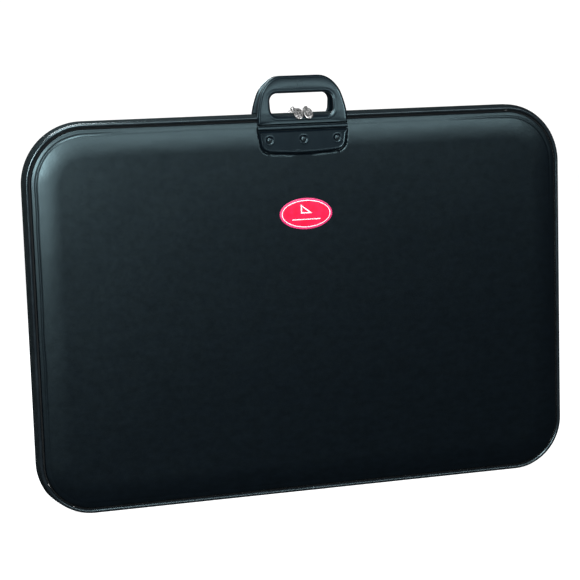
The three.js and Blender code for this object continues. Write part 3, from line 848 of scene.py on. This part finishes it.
def ray_hits(polygon, angles, centre):
    """Where rays from a centre leave a closed polygon."""
    hits = []
    for angle in angles:
        ray = Vector((math.cos(angle), math.sin(angle)))
        best = 0.0
        for k, a in enumerate(polygon):
            a, b = Vector(a) - centre, Vector(polygon[(k + 1) % len(polygon)]) - centre
            edge = b - a
            cross = ray.x * edge.y - ray.y * edge.x
            if abs(cross) < 1e-9:
                continue
            along = (a.x * edge.y - a.y * edge.x) / cross
            share = (a.x * ray.y - a.y * ray.x) / cross
            if along > best and -1e-6 <= share <= 1 + 1e-6:
                best = along
        hits.append(tuple(centre + ray * best))
    return hits


def grip_back(z):
    """The depth of the grip's rear face, which steps forward above the case's edge."""
    return HANDLE_BACK + (GRIP_BACK - HANDLE_BACK) * rise(0.9, 2.6, z)


def leaned(z, depth):
    """The grip's depth after its lean towards the other grip. The front face starts to lean at the fold."""
    over = max(0.0, z - BEND)
    front_share = rise(HANDLE_BACK + 0.5, HANDLE_BACK + 2.5, depth)
    early = EARLY_LEAN * max(0.0, min(BEND, z) - FOLD_HIGH) * front_share
    return depth - early - LEAN * over * over / (over + 2.0)


# The finger hole's rounded lip, from the face into the hole: (distance from the hole, depth behind the front)
LIP = [
    (6.2, 0.62), (5.2, 0.5), (4.2, 0.3), (3.2, 0.28), (2.2, 0.6),
    (1.2, 1.4), (0.5, 2.4), (0.1, 3.5), (0.0, 4.6),
]


def build_grip(side):
    """The hinged grip: a loop round the finger hole, with rings from its border through the hole and back."""
    centre = Vector((0.0, (HOLE["high"] + HOLE["low"]) / 2))
    low = FOLD_HIGH + FOLD_GAP
    corner = math.atan2(low - centre.y, HANDLE_HALF)
    angles = {2 * math.pi * k / 240 for k in range(240)}
    angles |= {corner % (2 * math.pi), (math.pi - corner) % (2 * math.pi)}
    angles = sorted(angles)
    outer = ray_hits(trimmed_outline(low, HANDLE_TOP + 1), angles, centre)
    hole = ray_hits(rounded_box(HOLE["half"], HOLE["low"], HOLE["high"], HOLE["radius"], 14), angles, centre)
    rings = border_rings(outer, low, HANDLE_BACK)
    for row in (0, 1):
        rings[row] = [(x, grip_back(z) + 0.5 * row, z) for x, _, z in rings[row]]
    for distance, behind in LIP:
        rings.append([(x, HANDLE_FRONT - behind, z) for x, z in offset(hole, -distance)])
    rings.append([(x, grip_back(z) + 0.7, z) for x, z in hole])
    for distance in (0.7, 2.5, 5.0):
        rings.append([(x, grip_back(z), z) for x, z in offset(hole, -distance)])
    made = []
    for ring in rings:
        made.append([place(side, x, leaned(z, d), HEIGHT + fold_shift(z, d, low, None)) for x, d, z in ring])
    body, replaced = f"{side}_grip", [f"{side}_handle_grip"]
    ring_piece(f"{side}_grip_loop", made, body, "moulded_plastic", replaced, sharp_degrees=60, joined=True)


def build_grip_mark(side):
    """A plain raised square frame in the middle of the grip's bar."""
    half, wide = 4.6, 1.1
    middle = 41.5
    base, top = HANDLE_FRONT - 1.0, HANDLE_FRONT - 0.15
    profile = ((0, base), (0.1, top - 0.1), (0.3, top), (wide - 0.2, top), (wide, top - 0.1), (wide, base))
    rings = []
    for sx, sz in ((1, 1), (-1, 1), (-1, -1), (1, -1)):
        ring = []
        for inset, depth in profile:
            z = middle + sz * (half - inset)
            ring.append(place(side, sx * (half - inset), leaned(z, depth), HEIGHT + z))
        rings.append(ring)
    ring_piece(f"{side}_grip_mark", rings, f"{side}_grip", "moulded_plastic", joined=True)


def turned(side, name, profile, x, z, body, slot, replaces):
    """A round piece with its axis along Y; the profile is (radius, depth) from axis to axis."""
    rings = [
        [place(side, x + radius * c, depth, z + radius * s) for c, s in circle(32)]
        for radius, depth in profile
    ]
    ring_piece(name, rings, body, slot, replaces)


# A rivet's head: (radius, height over its seat)
DOME = [(3.6, 0.0), (3.7, 0.3), (3.45, 0.75), (2.9, 1.15), (2.0, 1.45), (1.0, 1.6), (0.1, 1.65)]


def build_rivets(side):
    """The three domed rivets that go through the base plate to the backing plate."""
    seat = HANDLE_FRONT - 1.25
    _, plate_high = box_mm("front_handle_backing_plate")
    inner_end = -plate_high[1]
    profile = [(0.1, inner_end), (1.6, inner_end + 0.1), (1.6, seat)]
    profile += [(radius, seat + height) for radius, height in DOME]
    for index, x in enumerate((-RIVET_PITCH, 0, RIVET_PITCH)):
        name = f"{side}_rivet_{index + 1}"
        node = f"{side}_handle_rivet_{index + 1}"
        turned(side, name, profile, x, HEIGHT + RIVET_HEIGHT, f"{side}_half", "rivet_plastic", [node])


# ---- badge ----


def build_badge():
    """A domed oval plate: a deep red band, a white line and a bright red field."""
    low, high = box_mm("badge")
    half_x, half_z = (high[0] - low[0]) / 2, (high[2] - low[2]) / 2
    middle, back, front = (high[2] + low[2]) / 2, -high[1], -low[1]
    # (inset, depth, paint)
    levels = [
        (0.0, back - 0.4, 0), (0.0, front - 0.5, 0), (0.3, front - 0.15, 0), (0.8, front, 0), (2.9, front, 0),
        (3.1, front + 0.12, 1), (3.9, front + 0.12, 1), (4.1, front - 0.05, 2), (5.5, front - 0.02, 2),
        (9.0, front + 0.1, 2), (14.0, front + 0.2, 2), (20.0, front + 0.25, 2),
    ]
    bm = bmesh.new()
    rows = []
    for inset, depth, _ in levels:
        rows.append([
            bm.verts.new(place("front", (half_x - inset) * c, depth, middle + (half_z - inset) * s))
            for c, s in circle(128)
        ])
    for row, following, (_, _, paint) in zip(rows, rows[1:], levels[1:]):
        for i in range(len(row)):
            j = (i + 1) % len(row)
            bm.faces.new((row[i], row[j], following[j], following[i])).material_index = paint
    bm.faces.new(rows[0])
    bm.faces.new(rows[-1]).material_index = 2
    paints = [BADGE_RIM, BADGE_WHITE, MATERIALS["badge_red"]]
    make_piece("badge_plate", bm, "front_half", "badge_red", ["badge"], paints, 30)
    build_badge_motif(middle, front + 0.2)


def frame_strip(bm, corners, wide, depth):
    """A raised frame that follows a closed run of corners, given as (x, z)."""
    low, high = depth - 0.15, depth + 0.15
    rings = []
    for (x, z), (inner_x, inner_z) in zip(corners, offset(corners, wide, 0.3)):
        rings.append([
            place("front", x, low, z), place("front", x, high, z),
            place("front", inner_x, high, inner_z), place("front", inner_x, low, inner_z),
        ])
    add_rings(bm, rings, joined=True)


def build_badge_motif(middle, depth):
    """A plain set square over a ruled line, in white."""
    bm = bmesh.new()
    base = middle + 0.5
    frame_strip(bm, [(-7.5, base), (8.5, base), (-7.5, base + 12.5)], 1.5, depth)
    low, high = middle - 8.3, middle - 7.1
    frame_strip(bm, [(-20.0, low), (20.0, low), (20.0, high), (-20.0, high)], 0.55, depth)
    make_piece("badge_motif", bm, "front_half", "badge_red", materials=[BADGE_WHITE])


# ---- zip sliders ----


SLIDER_OVER, SLIDER_UNDER = 2.5, -0.5     # the slit between the plates, over the case's top edge
BRIDGE_HEIGHT = 7.8


def slider_outline(half, wide, share):
    """A plate with a broad rounded nose at +X and a narrower tail."""
    points = []
    for along, across in circle(48):
        reach = (abs(along) ** 3 + abs(across) ** 3) ** (-1 / 3)
        taper = 1 - 0.26 * rise(-0.2, 1.0, -along)
        points.append((half * share * along * reach, wide * share * across * reach * taper))
    return points


def above_edge(x, y, over):
    """A point in metres, given in millimetres, at a height over the case's top edge."""
    return (x * MM, y * MM, (HEIGHT + over) * MM)


# Each plate's rings from below: (share of the outline, height over the slit's face)
UPPER_PLATE = [
    (0.86, 0.0), (0.90, -0.5), (0.97, -0.7), (1.0, -0.2), (1.0, 0.7), (0.97, 1.15), (0.88, 1.5), (0.72, 1.6),
    (0.62, 1.45), (0.35, 1.45),
]
LOWER_PLATE = [
    (0.4, -1.6), (0.88, -1.55), (0.98, -1.2), (1.0, -0.5), (1.0, 0.2), (0.97, 0.5), (0.90, 0.4), (0.86, 0.0),
]


def build_slider(side, sign):
    """Two plates with turned-in edges, the wedge between the rows of teeth and the bridge for the pull."""
    low, high = box_mm(f"zip_slider_{side}")
    middle = (low[0] + high[0]) / 2
    half, wide = (high[0] - low[0]) / 2, (high[1] - low[1]) / 2
    bm = bmesh.new()
    for plate, slit in ((UPPER_PLATE, SLIDER_OVER), (LOWER_PLATE, SLIDER_UNDER)):
        add_rings(bm, [
            [above_edge(middle + sign * x, y, slit + over) for x, y in slider_outline(half, wide, share)]
            for share, over in plate
        ])
    wedge = [(4.0 + x * 0.36, y * 0.12) for x, y in slider_outline(half, wide, 1.0)]
    add_rings(bm, [
        [above_edge(middle + sign * x, y, over) for x, y in wedge]
        for over in (SLIDER_UNDER - 0.4, SLIDER_OVER + 0.4)
    ])
    foot = SLIDER_OVER + 0.7
    rings = []
    for step in range(25):
        a = math.pi * step / 24
        x = -4.7 * squared(math.cos(a), 0.45)
        over = foot + (BRIDGE_HEIGHT - foot) * math.sin(a) ** 0.45
        lean = math.atan2(math.sin(a), -math.cos(a) * 1.6) - math.pi / 2
        rings.append([
            above_edge(middle + sign * (x - c * math.sin(-lean)), 1.5 * s, over + c * math.cos(lean))
            for c, s in circle(12)
        ])
    add_rings(bm, rings)
    make_piece(f"slider_{side}_body", bm, f"slider_{side}", "zip_metal", [f"zip_slider_{side}"])


# The pull's middle line, from its loop to its tip over the front handle: (forward, height, half width).
PULL_LINE = [
    (2.6, 8.4, 2.6), (4.2, 8.4, 3.6), (5.8, 8.0, 4.9), (7.6, 7.3, 5.8), (9.6, 6.2, 6.3),
    (11.6, 5.0, 6.5), (13.6, 3.6, 6.6), (15.6, 2.1, 6.6), (17.4, 0.6, 6.4), (19.2, -1.0, 5.9),
    (20.6, -2.7, 5.0), (21.5, -4.2, 3.7), (22.0, -5.2, 1.8),
]
PULL_SHIFT = {"left": 3.8, "right": -1.4}      # how far the tab hangs to the right of its slider


def build_pull(side):
    """A cast teardrop tab that lies forward over the rim of the front handle, and the ring that holds it."""
    low, high = box_mm(f"zip_pull_{side}")
    middle = (low[0] + high[0]) / 2
    bm = bmesh.new()
    rings = []
    last = len(PULL_LINE) - 1
    for index, (forward, height, half) in enumerate(PULL_LINE):
        before, after = PULL_LINE[max(0, index - 1)], PULL_LINE[min(last, index + 1)]
        run, climb = after[0] - before[0], after[1] - before[1]
        length = math.hypot(run, climb)
        across = middle + PULL_SHIFT[side] * rise(1.5, 7.0, forward)
        end_share = 0.55 if index in (0, last) else 1.0
        ring = []
        for c, s in circle(32):
            x = half * squared(c, 0.6)
            hollow = 1 - rise(0.55, 0.8, abs(x) / half)
            dish = 0.35 * hollow * rise(5.6, 9.0, forward) * (1 - rise(16.5, 19.5, forward))
            swell = end_share * (0.95 - dish) * squared(s, 0.55)
            y = -(forward - climb / length * swell)
            ring.append(above_edge(across + x, y, height + run / length * swell))
        rings.append(ring)
    add_rings(bm, rings)
    loop_radius, wire = 2.75, 0.75
    add_rings(bm, [
        [
            above_edge(
                middle + 2.2 * wire_c,
                (loop_radius + wire * wire_s) * c,
                BRIDGE_HEIGHT + (loop_radius + wire * wire_s) * s,
            )
            for wire_c, wire_s in circle(10)
        ]
        for c, s in circle(24)
    ], joined=True)
    make_piece(f"pull_{side}_tab", bm, f"pull_{side}", "zip_metal", [f"zip_pull_{side}"])


# ---- spine and inside ----


def soft_slab(name, x_half, depths, z_range, slot, replaces, corner):
    """A flat sheet of the front half with rounded corners and edges, standing upright."""
    z0, z1 = z_range
    d0, d1 = depths
    middle, half_z = (z0 + z1) / 2, (z1 - z0) / 2
    outline = rounded_box(x_half, -half_z, half_z, corner, 16)
    layers = ((0.9, d1), (0.997, d1), (1.0, (d0 + d1) / 2), (0.997, d0), (0.9, d0), (0.5, d0))
    rings = [
        [place("front", x * share, depth, middle + z * share) for x, z in outline] for share, depth in layers
    ]
    return ring_piece(name, rings, "front_half", slot, replaces)


def build_lining(side):
    """The cloth over the board, stretched flat, with a slight sag inside its edge."""
    low, high = box_mm("front_lining")
    inset = WIDTH / 2 - high[0]
    d0, d1 = -high[1], -low[1]
    rings = []
    for depth, shrink in ((d1, 0.4), ((d0 + d1) / 2, 0.0), (d0, 0.4)):
        rings.append([at_station(side, station, inset + shrink, depth) for station in STATIONS])
    for reach in (3, 6, 12, 24, 40, 58):
        sag = 0.12 * rise(6, 60, reach)
        rings.append([
            at_station(side, station, inset + reach, d0 - sag * (0.5 + 0.5 * wobble(*station[:2], 60, 5)))
            for station in STATIONS
        ])
    lining = ring_piece(f"{side}_lining_cloth", rings, f"{side}_half", "lining_fabric", [f"{side}_lining"])


def build_pocket():
    """The document pocket on the front lining, with an elastic hem along its top."""
    hem_high = 16.0
    low, high = box_mm("document_pocket")
    half, bottom, top, back = high[0], low[2], high[2], -high[1]
    pocket = soft_slab(
        "pocket_cloth", half, (back, -low[1]), (bottom, top), "lining_fabric", ["document_pocket"], corner=6.0
    )
    hem_depths = (back - 0.35, back + 0.1)
    hem = soft_slab("pocket_hem", half, hem_depths, (top - hem_high, top), "elastic", (), corner=3.0)


STRAP_WIDE = 25.0
# Across a strap: (share of its half width, depth)
STRAP_SECTION = ((-1, 0.05), (-0.985, 0.5), (0.985, 0.5), (1, 0.05), (0.985, -0.1), (-0.985, -0.1))


def build_straps():
    """Elastic bands across the corners of the rear lining."""
    for sx, column in ((-1, "left"), (1, "right")):
        for sz, row in ((-1, "lower"), (1, "upper")):
            node = f"corner_strap_{row}_{column}"
            low, high = box_mm(node)
            cx, cz = (low[0] + high[0]) / 2, (low[2] + high[2]) / 2
            span = (high[0] - low[0]) / math.sqrt(2)
            long = 2 * (span - STRAP_WIDE / 2)
            ux, uz = math.sqrt(0.5), -sx * sz * math.sqrt(0.5)
            rings = []
            for step in range(41):
                t = 2 * step / 40 - 1
                rib = 0.04 * (step % 2)
                bow = 0.25 * (1 - t * t)
                ring = []
                for across, depth in STRAP_SECTION:
                    x = cx + ux * t * long / 2 - uz * across * STRAP_WIDE / 2
                    z = cz + uz * t * long / 2 + ux * across * STRAP_WIDE / 2
                    y = low[1] + 0.1 - bow + (0.5 - max(0.0, depth)) - rib
                    ring.append((x * MM, y * MM, z * MM))
                rings.append(ring)
            strap = ring_piece(f"strap_{row}_{column}", rings, "rear_half", "elastic", [node])


def build_spine():
    """The fold along the bottom: a leatherette strip with a pressed line beside each seam."""
    _, (half_x, half_y, top) = box_mm("spine_cover")
    under = []
    for step in range(-12, 13):
        share = step / 12
        dent = 0.35 * math.exp(-(((abs(share) - 0.72) / 0.07) ** 2))
        under.append((share * half_y, dent if abs(share) < 0.97 else 0.45))
    section = under + [(half_y * 0.99, top), (-half_y * 0.99, top)]
    rings = []
    for step in range(61):
        x = -half_x + 2 * half_x * step / 60
        ripple = 0.08 * wobble(x, 0, 30, 9)
        rings.append([(x * MM, y * MM, (z + max(0.0, ripple) * (z < top)) * MM) for y, z in section])
    ring_piece("spine_skin", rings, "spine", "leatherette", ["spine_cover"])


# ---- build everything ----


def dress_frame():
    """CAD pieces whose shape is right keep it and get a finished material."""
    slots = {part["node"]: part["material_slot"] for part in frame["record"]["subparts"]}
    for node, piece in frame["nodes"].items():
        piece.data.materials.clear()
        piece.data.materials.append(MATERIALS[slots[node]])


def build_case():
    dress_frame()
    for side in SIDES:
        build_cover(side)
        build_foam(side)
        build_piping(side)
        build_piping_join(side)
        build_bands(side)
        build_stitches(side)
        build_teeth(side)
        build_base(side)
        build_strip(side)
        build_grip(side)
        build_grip_mark(side)
        build_rivets(side)
        build_lining(side)
    build_badge()
    for side, sign in (("left", -1), ("right", 1)):
        build_slider(side, sign)
        build_pull(side)
    build_spine()
    build_pocket()
    build_straps()


# ---- studio ----

CAMERA = {"lens": 103.4, "azimuth": -16.12, "elevation": 7.86, "roll": -1.81, "distance": 2.306}
LOOK_AT = Vector((-0.0208, 0.0, 0.2831))
LAMP_COLOUR = (0.86, 0.96, 1.0)
# (name, azimuth, elevation, distance, size, power)
LAMPS = (
    ("key", -25, 13, 1.6, (0.4, 0.36), 17),
    ("high", -25, 52, 1.6, (0.8, 0.5), 28),
    ("top_front", 16, 21.5, 2.2, (1.9, 0.3), 17),
    ("behind", 196, 40, 1.7, (0.8, 0.5), 26),
)


def direction(azimuth, elevation):
    """Unit vector from the object towards a viewer; azimuth 0 is straight in front."""
    a, e = math.radians(azimuth), math.radians(elevation)
    return Vector((math.sin(a) * math.cos(e), -math.cos(a) * math.cos(e), math.sin(e)))


def build_camera():
    """The camera of the main view, turned about its own axis by its roll."""
    data = bpy.data.cameras.new("camera")
    data.lens = CAMERA["lens"]
    data.sensor_width = 36.0
    data.clip_start, data.clip_end = 0.05, 50.0
    camera = add_object("camera", data)
    back = direction(CAMERA["azimuth"], CAMERA["elevation"])
    camera.location = LOOK_AT + back * CAMERA["distance"]
    camera.rotation_mode = "QUATERNION"
    camera.rotation_quaternion = (-back).to_track_quat("-Z", "Y")
    camera.rotation_mode = "XYZ"
    camera.rotation_euler.rotate_axis("Z", math.radians(CAMERA["roll"]))
    bpy.context.scene.camera = camera


def area_light(name, azimuth, elevation, distance, size, power):
    """A rectangular lamp that faces the case."""
    data = bpy.data.lights.new(name, "AREA")
    data.shape = "RECTANGLE"
    data.size, data.size_y = size
    data.energy = power
    data.color = LAMP_COLOUR
    light = add_object(name, data)
    toward = direction(azimuth, elevation)
    light.location = LOOK_AT + toward * distance
    light.rotation_mode = "QUATERNION"
    light.rotation_quaternion = toward.to_track_quat("Z", "Y")


def build_floor():
    """A wide pale disc under the case, which its surfaces don't reflect."""
    bm = bmesh.new()
    bmesh.ops.create_circle(bm, cap_ends=True, radius=6.0, segments=96)
    mesh = bpy.data.meshes.new("floor")
    bm.to_mesh(mesh)
    bm.free()
    floor = add_object("floor", mesh)
    floor.location.z = -0.0005
    s = Surface("floor", 0.9, Specular_IOR_Level=0.1, Emission_Strength=1.0)
    s.shader.inputs["Emission Color"].default_value = (1, 1, 1, 1)
    s.colour(s.noise(3, 2.0), (0.40, 0.40, 0.40), (0.44, 0.44, 0.44))
    mesh.materials.append(s.material)
    floor.visible_glossy = False
    floor.visible_diffuse = False


def background(tree, colour, strength):
    """A plain background for one kind of ray."""
    made = tree.nodes.new("ShaderNodeBackground")
    made.inputs["Color"].default_value = colour
    made.inputs["Strength"].default_value = strength
    return made.outputs["Background"]


def build_world():
    """White to the eye; a dim, even room for what the surfaces reflect."""
    world = bpy.data.worlds.new("studio")
    bpy.context.scene.world = world
    world.use_nodes = True
    tree = world.node_tree
    tree.nodes.clear()
    out = tree.nodes.new("ShaderNodeOutputWorld")
    room = background(tree, (0.80, 0.92, 1.0, 1), 0.05)
    white = background(tree, (1, 1, 1, 1), 1.1)
    mix = tree.nodes.new("ShaderNodeMixShader")
    path = tree.nodes.new("ShaderNodeLightPath")
    tree.links.new(path.outputs["Is Camera Ray"], mix.inputs["Fac"])
    tree.links.new(room, mix.inputs[1])
    tree.links.new(white, mix.inputs[2])
    tree.links.new(mix.outputs["Shader"], out.inputs["Surface"])


def build_studio():
    build_floor()
    build_world()
    for lamp in LAMPS:
        area_light(*lamp)
    bpy.context.scene.view_settings.view_transform = "Standard"


build_camera()
build_case()
build_studio()
